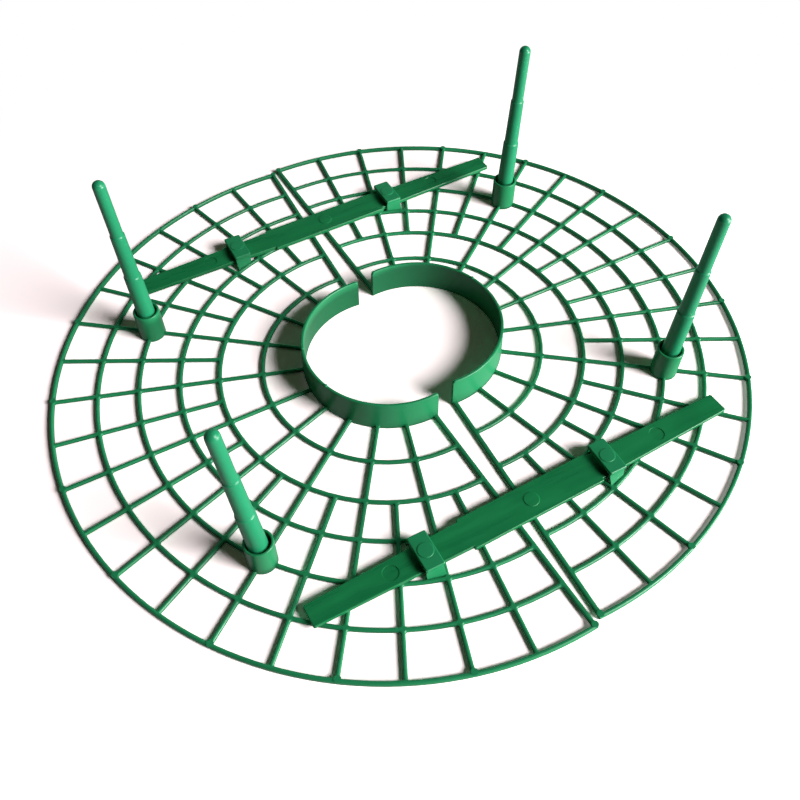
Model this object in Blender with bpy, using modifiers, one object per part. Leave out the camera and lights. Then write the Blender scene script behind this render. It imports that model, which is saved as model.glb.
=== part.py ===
"""Strawberry plant support: two half grids with a collar, two joining bars and four stepped legs."""
import math

import bpy
import bmesh
from mathutils import Matrix, Vector

# Grid radii, measured from the centre of one half to the middle of each ring
RIM_RADIUS = 0.1490
RING_RADII = (0.0570, 0.0763, 0.0937, 0.1118, 0.1297)
COLLAR_RADIUS = 0.0390
FIRST_SPLIT_RING = 2
SOCKET_RING = 4

# Main spokes are numbered from one seam edge to the other, with one short spoke between each pair
MAIN_SPOKES = 11
SPOKE_PITCH = 18.44
SOCKET_SPOKES = (3, 7)

# Bar sections of the grid
GRID_TOP = 0.0018
SPOKE_HEIGHT = 0.0015
SPOKE_WIDTH = 0.0018
RING_WIDTH = 0.0018
RIM_WIDTH = 0.0018
RIM_TOP = 0.0020
SEAM_BAR_WIDTH = 0.0021
ARC_STEP = 4.7
BUILD_TURN = 4.0

# Rounded knobs where the main spokes meet the rim
KNOB_DIAMETER = 0.0022
KNOB_TOP = 0.0023
KNOB_BOTTOM = 0.0002
KNOB_SIDES = 8

# Placing of the two halves
HALF_SHIFT = 0.0081
SEAM_SLIP = 0.00115
SEAM_GAP_AT_RIM = 0.0020
SEAM_GAP_AT_COLLAR = 0.0090

# Collar round the plant
COLLAR_WALL = 0.0014
COLLAR_TOP = 0.0152
COLLAR_BOTTOM = 0.0
COLLAR_DRAFT = 0.0003
COLLAR_OVERHANG = 0.0003

# Leg sockets
SOCKET_OUTER = 0.0118
SOCKET_BORE = 0.0098
SOCKET_TOP = 0.0150
SOCKET_BOTTOM = 0.0001
SOCKET_FLOOR = 0.0024
SOCKET_LIP = 0.0003
SOCKET_SIDES = 24

# Loops that hold the joining bars
LOOP_FROM_SEAM = 0.0429
LOOP_FROM_MIDDLE = 0.0962
LOOP_WIDTH = 0.0081
LOOP_LENGTH = 0.0160
LOOP_WALL = 0.0012
LOOP_TOP = 0.0079
LOOP_PLATE = 0.0019
LOOP_EDGE = 0.0004
LOOP_FOOT = 0.0013

# Joining bars
BAR_LENGTH = 0.1965
BAR_THICKNESS = 0.0020
BAR_WAIST_LENGTH = 0.0620
BAR_WAIST_WIDTH = 0.0146
BAR_ARM_WIDTH = 0.0124
BAR_TIP_WIDTH = 0.0096
BAR_CORNER = 0.0008
BAR_EDGE = 0.0003
BAR_REST_SHIFT = 0.0060
BAR_LIFT = 0.0004

# Shallow round moulding marks on bars and loops
MARK_DIAMETER = 0.0066
MARK_DEPTH = 0.0002
MARK_SIDES = 20
BAR_MARK_SPACING = 0.0640

# Stepped legs
LEG_CLEARANCE = 0.0003
LEG_LENGTH = 0.0842
LEG_STEPS = (0.0344, 0.0572)
LEG_FOOT_DIAMETER = 0.0082
LEG_SECTION_ENDS = (0.0076, 0.0063, 0.0053)
LEG_SHOULDER = 0.0004
LEG_SHOULDER_HEIGHT = 0.0005
LEG_FOOT_CHAMFER = 0.0005
LEG_SIDES = 20
LEG_PIVOT = 0.0078
LEG_TIP_ARC = 5

# How far each leg stands out of upright in its loose socket, in degrees
LEG_LEANS = {
    "leg_back_left": (-1.0, 0.3),
    "leg_back_right": (3.2, 1.1),
    "leg_front_left": (-3.3, 0.1),
    "leg_front_right": (2.9, 0.6),
}

MAKING = "construction"
PRODUCT = "strawberry_plant_support"


def clear_scene():
    """Removes every object of the start file."""
    for old in list(bpy.data.objects):
        bpy.data.objects.remove(old, do_unlink=True)


def collection(name):
    """Returns the named collection, linked to the scene."""
    found = bpy.data.collections.get(name)
    if found is None:
        found = bpy.data.collections.new(name)
        bpy.context.scene.collection.children.link(found)
    return found


def plastic(name, colour, roughness):
    """Makes a Principled material for one kind of piece."""
    material = bpy.data.materials.new(name)
    material.use_nodes = True
    material.diffuse_color = (*colour, 1.0)
    shader = material.node_tree.nodes["Principled BSDF"]
    shader.inputs["Base Color"].default_value = (*colour, 1.0)
    shader.inputs["Roughness"].default_value = roughness
    shader.inputs["Metallic"].default_value = 0.0
    return material


def bench_object(name, mesh):
    """Links a mesh as a construction object."""
    made = bpy.data.objects.new(name, mesh)
    made.hide_render = True
    made.display_type = "WIRE"
    collection(MAKING).objects.link(made)
    return made


def evaluated_mesh(source, name, weld):
    """Returns the mesh of an object with its modifiers in world space, welded on request."""
    bpy.context.view_layer.update()
    graph = bpy.context.evaluated_depsgraph_get()
    mesh = bpy.data.meshes.new_from_object(source.evaluated_get(graph), depsgraph=graph)
    mesh.name = name
    mesh.transform(source.matrix_world)
    work = bmesh.new()
    work.from_mesh(mesh)
    if weld:
        bmesh.ops.remove_doubles(work, verts=work.verts, dist=0.000002)
        bmesh.ops.dissolve_degenerate(work, dist=0.000002, edges=work.edges)
        bmesh.ops.recalc_face_normals(work, faces=work.faces)
    work.to_mesh(mesh)
    work.free()
    return mesh


def settle(source, name, weld=True):
    """Replaces a construction object by its finished mesh."""
    mesh = evaluated_mesh(source, name, weld)
    data = source.data
    bpy.data.objects.remove(source, do_unlink=True)
    if isinstance(data, bpy.types.Curve):
        bpy.data.curves.remove(data)
    return bench_object(name, mesh)


def is_level(face):
    """Tells whether all corners of a face lie at one height."""
    heights = [corner.co.z for corner in face.verts]
    return max(heights) - min(heights) < 0.00001


def sliver_edges(work):
    """Longest edge of every level face that has no area."""
    slivers = [face for face in work.faces if is_level(face) and face.calc_area() < 0.0000000001]
    return {max(face.edges, key=lambda edge: edge.calc_length()) for face in slivers}


def even_out(made):
    """Joins the triangles of the level faces into large faces, without slivers along the spokes."""
    work = bmesh.new()
    work.from_mesh(made.data)
    for _ in range(6):
        bmesh.ops.dissolve_edges(work, edges=list(sliver_edges(work)), use_verts=False)
    inside = [edge for edge in work.edges if all(is_level(face) for face in edge.link_faces)]
    bmesh.ops.dissolve_limit(work, angle_limit=math.radians(0.5), verts=[], edges=inside)
    work.to_mesh(made.data)
    work.free()
    return made


def slab(name, outlines, bottom, top):
    """Extrudes flat closed outlines from one height to another; inner outlines become holes."""
    curve = bpy.data.curves.new(name, "CURVE")
    curve.dimensions = "2D"
    curve.fill_mode = "BOTH"
    curve.extrude = (top - bottom) / 2
    for outline in outlines:
        spline = curve.splines.new("POLY")
        spline.points.add(len(outline) - 1)
        for point, place in zip(spline.points, outline):
            point.co = (place[0], place[1], 0.0, 1.0)
        spline.use_cyclic_u = True
    made = bench_object(name, curve)
    made.location.z = (top + bottom) / 2
    return even_out(settle(made, name))


def turned(name, profile, sides):
    """Turns a closed profile of radius and height pairs about the Z axis."""
    mesh = bpy.data.meshes.new(name)
    points = [(radius, 0.0, height) for radius, height in profile]
    mesh.from_pydata(points, [(i, i + 1) for i in range(len(points) - 1)], [])
    made = bench_object(name, mesh)
    screw = made.modifiers.new("turn", "SCREW")
    screw.axis = "Z"
    screw.steps = sides
    screw.render_steps = sides
    screw.use_merge_vertices = True
    screw.merge_threshold = 0.00001
    screw.use_normal_calculate = True
    return settle(made, name)


def drum(name, radius, bottom, top, sides, place):
    """A plain round post standing at a place."""
    profile = [(0.0, top), (radius, top), (radius, bottom), (0.0, bottom)]
    made = turned(name, profile, sides)
    made.data.transform(Matrix.Translation((place[0], place[1], 0.0)))
    return made


def bevelled(source, width, segments=1, angle=50.0):
    """Rounds the sharp edges of a construction object."""
    bevel = source.modifiers.new("edge", "BEVEL")
    bevel.width = width
    bevel.segments = segments
    bevel.limit_method = "ANGLE"
    bevel.angle_limit = math.radians(angle)
    return settle(source, source.name)


def grouped(name, members):
    """Joins pieces that do not touch into one construction object."""
    work = bmesh.new()
    for member in members:
        work.from_mesh(member.data)
        bpy.data.objects.remove(member, do_unlink=True)
    mesh = bpy.data.meshes.new(name)
    work.to_mesh(mesh)
    work.free()
    return bench_object(name, mesh)


def combined(target, tool, operation="UNION"):
    """Joins a tool to the target, or cuts it away, with the exact solver."""
    step = target.modifiers.new("combine", "BOOLEAN")
    step.operation = operation
    step.solver = "EXACT"
    step.object = tool
    made = settle(target, target.name, weld=False)
    bpy.data.objects.remove(tool, do_unlink=True)
    return made


def turn(degrees):
    """Unit vector at an angle from the +X axis."""
    return Vector((math.cos(math.radians(degrees)), math.sin(math.radians(degrees))))


def spoke_angle(index):
    """Angle of a spoke from the middle line of its half."""
    return (index - (MAIN_SPOKES - 1) / 2) * SPOKE_PITCH


def seam_line(sign):
    """Start and direction of the straight bar along one end of the seam."""
    inner_x = SEAM_GAP_AT_COLLAR / 2 + SEAM_BAR_WIDTH / 2 - HALF_SHIFT
    outer_x = SEAM_GAP_AT_RIM / 2 + SEAM_BAR_WIDTH / 2 - HALF_SHIFT
    inner = Vector((inner_x, sign * math.sqrt(COLLAR_RADIUS ** 2 - inner_x ** 2)))
    outer = Vector((outer_x, sign * math.sqrt(RIM_RADIUS ** 2 - outer_x ** 2)))
    return inner, (outer - inner).normalized()


def spoke_line(index):
    """Start, direction and width of a spoke; the first and last run along the seam."""
    if index in (0, MAIN_SPOKES - 1):
        start, heading = seam_line(-1 if index == 0 else 1)
        return start, heading, SEAM_BAR_WIDTH
    return Vector((0.0, 0.0)), turn(spoke_angle(index)), SPOKE_WIDTH


def meet(radius, index, side):
    """Where one side of a spoke crosses a circle; side is -1, 0 or 1."""
    start, heading, width = spoke_line(index)
    left = Vector((-heading.y, heading.x))
    base = start + left * (side * width / 2)
    along = base.dot(heading)
    reach = math.sqrt(radius ** 2 - base.length_squared + along ** 2) - along
    return base + heading * reach


def bearing(point):
    """Angle of a point about the centre of the half, in degrees."""
    return math.degrees(math.atan2(point.y, point.x))


def arc(radius, start, end):
    """Points along an arc between two angles."""
    steps = max(1, round(abs(end - start) / ARC_STEP))
    return [turn(start + (end - start) * i / steps) * radius for i in range(steps + 1)]


def cell(inner, outer, low, high):
    """Outline of one opening between two circles and two spokes."""
    return (arc(inner, bearing(meet(inner, low, 1)), bearing(meet(inner, high, -1)))
            + arc(outer, bearing(meet(outer, high, -1)), bearing(meet(outer, low, 1))))


def cells():
    """Outlines of all openings of one half grid; the end rows reach into the collar and the rim."""
    circles = [COLLAR_RADIUS - COLLAR_WALL * 0.3, *RING_RADII, RIM_RADIUS]
    outlines = []
    for band in range(len(circles) - 1):
        inner = circles[band] + (0.0 if band == 0 else RING_WIDTH / 2)
        outer = circles[band + 1] - (0.0 if band == len(circles) - 2 else RING_WIDTH / 2)
        stride = 1.0 if band < FIRST_SPLIT_RING else 0.5
        low = 0.0
        while low < MAIN_SPOKES - 1:
            outlines.append(cell(inner, outer, low, low + stride))
            low += stride
    return outlines


def grid_outline():
    """Outer outline of one half grid, seen from above."""
    outer = RIM_RADIUS + RIM_WIDTH / 4
    inner = COLLAR_RADIUS - COLLAR_WALL * 0.7
    last = MAIN_SPOKES - 1
    points = arc(outer, bearing(meet(outer, 0, -1)), bearing(meet(outer, last, 1)))
    points += arc(inner, bearing(meet(inner, last, 1)), bearing(meet(inner, 0, -1)))
    return points


def band_outline(inner, outer, half_angle_inner, half_angle_outer):
    """Outline of a curved band about the middle line."""
    return (arc(outer, -half_angle_outer, half_angle_outer)
            + arc(inner, half_angle_inner, -half_angle_inner))


def rim():
    """The taller outer ring, from the floor up."""
    last = MAIN_SPOKES - 1
    inner = RIM_RADIUS - RIM_WIDTH / 2
    outer = RIM_RADIUS + RIM_WIDTH / 2
    inner_angle = bearing(meet(inner, last, 0.8))
    outer_angle = bearing(meet(outer, last, 0.8))
    return slab("rim", [band_outline(inner, outer, inner_angle, outer_angle)], 0.0, RIM_TOP)


def collar():
    """The thin upright wall round the plant hole, drawn in slightly towards its lip."""
    end_x = SEAM_GAP_AT_COLLAR / 2 - HALF_SHIFT - COLLAR_OVERHANG
    end = math.degrees(math.acos(end_x / COLLAR_RADIUS))
    inner = COLLAR_RADIUS - COLLAR_WALL
    made = slab("collar", [band_outline(inner, COLLAR_RADIUS, end, end)], COLLAR_BOTTOM, COLLAR_TOP)
    for corner in made.data.vertices:
        if corner.co.z > GRID_TOP:
            reach = math.hypot(corner.co.x, corner.co.y)
            scale = (reach - COLLAR_DRAFT) / reach
            corner.co.x *= scale
            corner.co.y *= scale
    return made


def knobs():
    """Round knobs at the outer end of every main spoke."""
    made = []
    for index in range(MAIN_SPOKES):
        place = meet(RIM_RADIUS, index, 0)
        made.append(drum("knob", KNOB_DIAMETER / 2, KNOB_BOTTOM, KNOB_TOP, KNOB_SIDES, place))
    return made


def sockets():
    """Round cups that take the legs."""
    outer = SOCKET_OUTER / 2
    bore = SOCKET_BORE / 2
    profile = [
        (0.0, SOCKET_FLOOR),
        (bore, SOCKET_FLOOR),
        (bore, SOCKET_TOP - SOCKET_LIP),
        (bore + SOCKET_LIP / 2, SOCKET_TOP),
        (outer - SOCKET_LIP, SOCKET_TOP),
        (outer, SOCKET_TOP - SOCKET_LIP),
        (outer, SOCKET_BOTTOM),
        (0.0, SOCKET_BOTTOM),
    ]
    made = []
    for index in SOCKET_SPOKES:
        place = meet(RING_RADII[SOCKET_RING - 1], index, 0)
        cup = turned("socket", profile, SOCKET_SIDES)
        cup.data.transform(Matrix.Translation((place.x, place.y, 0.0)))
        made.append(cup)
    return made


def loop_wall(sign, ring, inward):
    """One side wall of a loop, spreading from its top plate to the ring below it."""
    top_outer = LOOP_FROM_MIDDLE - inward * LOOP_LENGTH / 2
    top_inner = top_outer + inward * LOOP_WALL
    work = bmesh.new()
    bmesh.ops.create_cube(work, size=1.0)
    for corner in work.verts:
        x = LOOP_FROM_SEAM - HALF_SHIFT + corner.co.x * (LOOP_WIDTH - LOOP_EDGE)
        outside = corner.co.y * inward < 0
        if corner.co.z > 0:
            y = top_outer + inward * LOOP_EDGE if outside else top_inner
            z = LOOP_TOP - LOOP_PLATE / 2
        else:
            reach = ring + inward * (RING_WIDTH * 0.3 if outside else RING_WIDTH / 2 + LOOP_FOOT)
            y = math.sqrt(reach ** 2 - x ** 2)
            y = y if outside else inward * min(inward * y, inward * top_inner)
            z = GRID_TOP - SPOKE_HEIGHT * 0.8
        corner.co = (x, sign * y, z)
    bmesh.ops.triangulate(work, faces=work.faces)
    bmesh.ops.recalc_face_normals(work, faces=work.faces)
    mesh = bpy.data.meshes.new("loop_wall")
    work.to_mesh(mesh)
    work.free()
    return bench_object("loop_wall", mesh)


def loop_plate(sign):
    """The flat top plate of a loop, with rounded edges."""
    x = LOOP_FROM_SEAM - HALF_SHIFT
    y = sign * LOOP_FROM_MIDDLE
    half_x = LOOP_WIDTH / 2
    half_y = LOOP_LENGTH / 2
    outline = [(x - half_x, y - half_y), (x + half_x, y - half_y),
               (x + half_x, y + half_y), (x - half_x, y + half_y)]
    made = slab("loop_plate", [outline], LOOP_TOP - LOOP_PLATE, LOOP_TOP)
    return bevelled(made, LOOP_EDGE)


def mark(place, top):
    """Cutter for a shallow round moulding mark in an upper face."""
    return drum("mark", MARK_DIAMETER / 2, top - MARK_DEPTH, top + MARK_DEPTH, MARK_SIDES, place)


def loops_and_uprights():
    """The knobs, sockets and loop walls that stand on the grid."""
    walls = []
    for sign in (-1, 1):
        walls.append(loop_wall(sign, RING_RADII[2], 1))
        walls.append(loop_wall(sign, RING_RADII[3], -1))
    return grouped("uprights", knobs() + sockets() + walls)


def half_grid():
    """One half grid moulding, centred on its own ring centre with +X away from the seam."""
    body = slab("half_grid", [grid_outline()] + cells(), GRID_TOP - SPOKE_HEIGHT, GRID_TOP)
    plates = grouped("plates", [loop_plate(-1), loop_plate(1)])
    tools = [rim(), collar(), loops_and_uprights(), plates]
    places = [(LOOP_FROM_SEAM - HALF_SHIFT, sign * LOOP_FROM_MIDDLE) for sign in (-1, 1)]
    marks = grouped("marks", [mark(place, LOOP_TOP) for place in places])
    # Edges lying exactly along an axis leave gaps in the solver, so all of it is joined askew
    askew = Matrix.Rotation(math.radians(BUILD_TURN), 4, "Z")
    for made in [body, *tools, marks]:
        made.data.transform(askew)
    for tool in tools:
        body = combined(body, tool)
    body = combined(body, marks, "DIFFERENCE")
    body.data.transform(askew.inverted())
    return body.data


def bar_outline():
    """Outline of a joining bar: tapered arms either side of a wider waist with rounded shoulders."""
    quarter = []
    waist_x = BAR_WAIST_LENGTH / 2
    waist_y = BAR_WAIST_WIDTH / 2
    for step in range(4):
        swing = turn(90.0 - 30.0 * step) * BAR_CORNER
        quarter.append((waist_x - BAR_CORNER + swing.x, waist_y - BAR_CORNER + swing.y))
    quarter.append((waist_x, BAR_ARM_WIDTH / 2))
    quarter.append((BAR_LENGTH / 2 - BAR_CORNER, BAR_TIP_WIDTH / 2))
    quarter.append((BAR_LENGTH / 2, BAR_TIP_WIDTH / 2 - BAR_CORNER))
    right = quarter + [(x, -y) for x, y in reversed(quarter)]
    return right + [(-x, -y) for x, y in right]


def joining_bar():
    """One flat joining bar lying along X, resting on the plane z = 0."""
    body = bevelled(slab("bar", [bar_outline()], 0.0, BAR_THICKNESS), BAR_EDGE)
    places = [(BAR_MARK_SPACING * step, 0.0) for step in (-1, 0, 1)]
    body = combined(body, grouped("marks", [mark(place, BAR_THICKNESS) for place in places]), "DIFFERENCE")
    return body.data


def leg():
    """One stepped leg standing on the plane z = 0, with a domed tip."""
    profile = [(0.0, 0.0), (LEG_FOOT_DIAMETER / 2 - LEG_FOOT_CHAMFER, 0.0),
               (LEG_FOOT_DIAMETER / 2, LEG_FOOT_CHAMFER)]
    for end, diameter in zip(LEG_STEPS, LEG_SECTION_ENDS):
        profile.append((diameter / 2, end - LEG_SHOULDER_HEIGHT / 2))
        profile.append((diameter / 2 - LEG_SHOULDER, end + LEG_SHOULDER_HEIGHT / 2))
    tip = LEG_SECTION_ENDS[-1] / 2
    for step in range(LEG_TIP_ARC):
        swing = turn(90.0 * step / LEG_TIP_ARC) * tip
        profile.append((swing.x, LEG_LENGTH - tip + swing.y))
    profile.append((0.0, LEG_LENGTH))
    profile.reverse()
    return turned("leg", profile, LEG_SIDES).data


def finish(name, mesh, material, place):
    """Makes one named piece of the product."""
    made = bpy.data.objects.new(name, mesh)
    collection(PRODUCT).objects.link(made)
    made.matrix_world = place
    if not mesh.materials:
        mesh.materials.append(material)
    work = bmesh.new()
    work.from_mesh(mesh)
    bmesh.ops.triangulate(work, faces=[face for face in work.faces if len(face.verts) > 4])
    work.to_mesh(mesh)
    work.free()
    mesh.shade_smooth()
    mesh.set_sharp_from_angle(angle=math.radians(35.0))
    return made


def half_place(sign):
    """World placing of a half: +1 for the right half, -1 for the left, which is turned round."""
    turned_round = Matrix.Rotation(0.0 if sign > 0 else math.pi, 4, "Z")
    return Matrix.Translation((sign * HALF_SHIFT, sign * SEAM_SLIP, 0.0)) @ turned_round


def bar_slope():
    """Angle of the bars, which follow the loops of the two slipped halves."""
    return math.atan2(SEAM_SLIP, LOOP_FROM_SEAM)


def add_bars(material):
    """Places the two joining bars in their loops."""
    mesh = joining_bar()
    swing = Matrix.Rotation(bar_slope(), 4, "Z")
    slide = Matrix.Translation((BAR_REST_SHIFT, 0.0, 0.0))
    for name, sign in (("joining_bar_front", -1), ("joining_bar_back", 1)):
        middle = Matrix.Translation((0.0, sign * LOOP_FROM_MIDDLE, GRID_TOP + BAR_LIFT))
        finish(name, mesh, material, middle @ swing @ slide)


def leg_place(name):
    """World placing of a leg: upright in its socket, then leant about the socket middle."""
    side = -1 if name.endswith("left") else 1
    index = SOCKET_SPOKES[1] if ("back" in name) == (side > 0) else SOCKET_SPOKES[0]
    local = meet(RING_RADII[SOCKET_RING - 1], index, 0)
    centre = half_place(side) @ Vector((local.x, local.y, LEG_PIVOT))
    sideways, away = LEG_LEANS[name]
    lean = Matrix.Rotation(math.radians(sideways), 4, "Y") @ Matrix.Rotation(math.radians(-away), 4, "X")
    down = Matrix.Translation((0.0, 0.0, SOCKET_FLOOR + LEG_CLEARANCE - LEG_PIVOT))
    return Matrix.Translation(centre) @ lean @ down


def add_legs(material):
    """Stands the four legs in their sockets."""
    mesh = leg()
    for name in LEG_LEANS:
        finish(name, mesh, material, leg_place(name))


def main():
    """Builds the whole product."""
    clear_scene()
    grid_plastic = plastic("grid_plastic", (0.020, 0.220, 0.100), 0.36)
    bar_plastic = plastic("bar_plastic", (0.014, 0.190, 0.070), 0.40)
    leg_plastic = plastic("leg_plastic", (0.030, 0.290, 0.140), 0.36)
    mesh = half_grid()
    finish("grid_half_left", mesh, grid_plastic, half_place(-1))
    finish("grid_half_right", mesh, grid_plastic, half_place(1))
    add_bars(bar_plastic)
    add_legs(leg_plastic)
    for leftover in list(collection(MAKING).objects):
        bpy.data.objects.remove(leftover, do_unlink=True)
    bpy.data.collections.remove(collection(MAKING))


main()
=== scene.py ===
"""Looks of the strawberry plant support: glossy green moulded plastic on a plain white floor."""

from contextlib import contextmanager
from math import acos, atan2, cos, pi, radians, sin, sqrt, tan

import bmesh
import bpy
from bpy.props import FloatProperty, FloatVectorProperty, IntProperty, PointerProperty
from mathutils import Matrix, Vector


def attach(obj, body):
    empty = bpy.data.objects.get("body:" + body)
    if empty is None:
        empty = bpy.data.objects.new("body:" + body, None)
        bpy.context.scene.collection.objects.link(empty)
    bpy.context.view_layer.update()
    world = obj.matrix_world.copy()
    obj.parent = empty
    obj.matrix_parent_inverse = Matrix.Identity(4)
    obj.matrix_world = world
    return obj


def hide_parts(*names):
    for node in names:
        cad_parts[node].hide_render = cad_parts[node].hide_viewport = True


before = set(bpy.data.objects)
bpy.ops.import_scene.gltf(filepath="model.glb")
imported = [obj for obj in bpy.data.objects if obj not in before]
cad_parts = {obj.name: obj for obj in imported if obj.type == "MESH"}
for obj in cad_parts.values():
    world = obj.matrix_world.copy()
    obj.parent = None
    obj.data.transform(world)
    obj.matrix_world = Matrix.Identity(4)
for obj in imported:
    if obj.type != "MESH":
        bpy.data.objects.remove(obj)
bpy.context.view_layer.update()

bl_info = {
    "name": "Strawberry Plant Support",
    "version": (1, 0, 0),
    "blender": (4, 5, 0),
    "location": "3D View > Sidebar > Plant Support",
    "description": "Builds the visible pieces, finishes, floor, light and camera of a plant support",
    "category": "Object",
}

SIDES = {"left": -1, "right": 1}
CORNERS = ((-1, -1), (1, -1), (1, 1), (-1, 1))
WHITE = (1.0, 1.0, 1.0, 1.0)

# Places in the list of ring radii, and numbers of spokes
LOOP_RINGS = (2, 3)
SOCKET_RING = 3
SOCKET_SPOKES = (3, 7)


# Sizes and finishes that a user can change


def kind_of(prop, **rules):
    """Makes a kind of setting, which then takes a label, a note and a default."""
    return lambda label, note, default: prop(name=label, description=note, default=default, **rules)


length = kind_of(FloatProperty, min=0.0, unit="LENGTH", precision=5)
factor = kind_of(FloatProperty, min=0.0, max=1.0, subtype="FACTOR")
strength = kind_of(FloatProperty, min=0.0)
power = kind_of(FloatProperty, unit="POWER")
colour = kind_of(FloatVectorProperty, size=3, min=0.0, max=1.0, subtype="COLOR")
heading = kind_of(FloatVectorProperty, size=3)


def lengths(label, note, default):
    """Several sizes in metres."""
    return kind_of(FloatVectorProperty, size=len(default), unit="LENGTH", precision=5)(label, note, default)


def angle(label, note, degrees):
    """An angle, given in degrees."""
    return kind_of(FloatProperty, subtype="ANGLE")(label, note, radians(degrees))


class GridSizes(bpy.types.PropertyGroup):
    """Sizes of the two half grids, measured from the ring centre of a half."""

    rim_radius: length("Rim radius", "To the middle of the outer ring", 0.1490)
    rings: lengths("Ring radii", "To the middle of each inner ring",
                   (0.0570, 0.0763, 0.0937, 0.1118, 0.1297))
    half_shift: length("Half shift", "From the seam to the ring centre of a half", 0.0081)
    slip: length("Seam slip", "Slip of each half along the seam", 0.00115)
    main_spokes: kind_of(IntProperty, min=3)("Main spokes", "Spokes of a half, with those on the seam", 11)
    pitch: angle("Spoke pitch", "Angle between two main spokes", 18.44)
    split_band: kind_of(IntProperty, min=0, max=5)(
        "First split band", "Bands inside this one have no short spokes", 2)
    spoke_width: length("Spoke width", "Width of spokes and inner rings", 0.0018)
    seam_width: length("Seam bar width", "Width of the bars along the seam", 0.0021)
    gap_at_collar: length("Seam gap at collar", "Width of the seam next to the collar", 0.0090)
    gap_at_rim: length("Seam gap at rim", "Width of the seam at the outer ring", 0.0020)
    top: length("Grid top", "Height of the top of the spokes", 0.0018)
    bottom: length("Grid underside", "Height of the underside of the spokes", 0.0003)
    rim_width: length("Rim width", "Width of the outer ring", 0.0018)
    rim_top: length("Rim top", "Height of the top of the outer ring", 0.0020)
    corner: length("Corner radius", "Rounding in the corners of the openings", 0.0008)
    edge: length("Edge radius", "Rounding along the top edges", 0.0008)
    foot_edge: length("Foot edge", "Slope along the lower edges", 0.0002)
    knob_width: length("Knob width", "Diameter of the knobs on the rim", 0.0018)
    knob_top: length("Knob top", "Height of the knobs", 0.0023)
    knob_inset: length("Knob inset", "From the middle of the rim to a knob's middle", 0.0004)


class CollarSizes(bpy.types.PropertyGroup):
    """Sizes of the upright wall round the plant."""

    radius: length("Collar radius", "Outer radius at the foot", 0.0390)
    wall: length("Wall", "Thickness of the wall", 0.0014)
    top: length("Top", "Height of the lip", 0.0152)
    bottom: length("Foot", "Height of the foot", 0.0)
    draft: length("Draft", "How far the wall leans in towards its lip", 0.0003)
    overhang: length("Overhang", "How far the wall ends past the bar along the seam", 0.0003)
    corner: length("Corner radius", "Rounding of the upper corners of its ends", 0.0012)
    pip: length("Pip width", "Diameter of the two moulding pips on the lip", 0.0016)


class SocketSizes(bpy.types.PropertyGroup):
    """Sizes of the round cups that take the legs."""

    outer: length("Outer width", "Outer diameter", 0.0118)
    bore: length("Bore", "Inner diameter", 0.0098)
    top: length("Top", "Height of the mouth", 0.0150)
    bottom: length("Foot", "Height of the foot", 0.0001)
    floor: length("Floor", "Height of the floor inside", 0.0024)
    lip: length("Lip radius", "Rounding of the mouth", 0.0004)


class LoopSizes(bpy.types.PropertyGroup):
    """Sizes of the loops that hold the joining bars."""

    from_seam: length("From the seam", "To the middle of a loop", 0.0429)
    from_middle: length("From the middle", "To the middle of a loop", 0.0962)
    width: length("Width", "Width along the bar", 0.0081)
    length: length("Length", "Length across the bar", 0.0160)
    wall: length("Wall", "Thickness of the side walls", 0.0012)
    top: length("Top", "Height of the top", 0.0079)
    plate: length("Plate", "Thickness of the top plate", 0.0019)
    foot: length("Foot", "How far the wall spreads at its foot", 0.0013)
    edge: length("Edge radius", "Rounding of the edges", 0.0005)


class BarSizes(bpy.types.PropertyGroup):
    """Sizes of the joining bars."""

    length: length("Length", "Whole length", 0.1965)
    thickness: length("Thickness", "Thickness of the bar", 0.0020)
    waist_length: length("Middle length", "Length of the wider middle", 0.0620)
    waist: length("Middle width", "Width of the wider middle", 0.0146)
    arm: length("Arm width", "Width of an arm next to the middle", 0.0124)
    tip: length("Tip width", "Width of an arm at its tip", 0.0096)
    corner: length("Corner radius", "Rounding of the corners of the outline", 0.0008)
    edge: length("Edge radius", "Rounding along the edges", 0.0004)
    shift: length("Shift", "How far the bars lie to the right of the seam", 0.0060)
    lift: length("Lift", "Height of the bars above the grid", 0.0004)
    mark: length("Mark width", "Diameter of the round moulding marks", 0.0066)
    mark_depth: length("Mark depth", "Depth of the round moulding marks", 0.0003)
    mark_step: length("Mark spacing", "Distance between the marks on a bar", 0.0640)


class LegSizes(bpy.types.PropertyGroup):
    """Sizes of the stepped legs."""

    length: length("Length", "Whole length", 0.0842)
    foot: length("Foot width", "Diameter at the foot", 0.0082)
    steps: lengths("Steps", "Height of each step above the foot", (0.0344, 0.0572))
    ends: lengths("Section widths", "Diameter at the end of each section", (0.0076, 0.0063, 0.0053))
    shoulder: length("Shoulder", "How far each step goes in", 0.0004)
    shoulder_height: length("Shoulder height", "Height of the slope at each step", 0.0005)
    clearance: length("Clearance", "Gap under the foot", 0.0003)
    pivot: length("Lean height", "Height about which a leg leans", 0.0078)


class Finishes(bpy.types.PropertyGroup):
    """Colours and gloss of the plastic."""

    grid: colour("Grid colour", "Colour of the half grids", (0.018, 0.262, 0.100))
    bar: colour("Bar colour", "Colour of the joining bars", (0.010, 0.205, 0.066))
    leg: colour("Leg colour", "Colour of the legs", (0.018, 0.290, 0.128))
    roughness: factor("Roughness", "Roughness of clean plastic", 0.32)
    shine: factor("Shine", "Specular level of the plastic", 0.45)
    grain: factor("Grain", "Strength of the fine moulded grain", 0.06)
    flow: factor("Flow lines", "Strength of the flow lines on the joining bars", 1.0)


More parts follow.
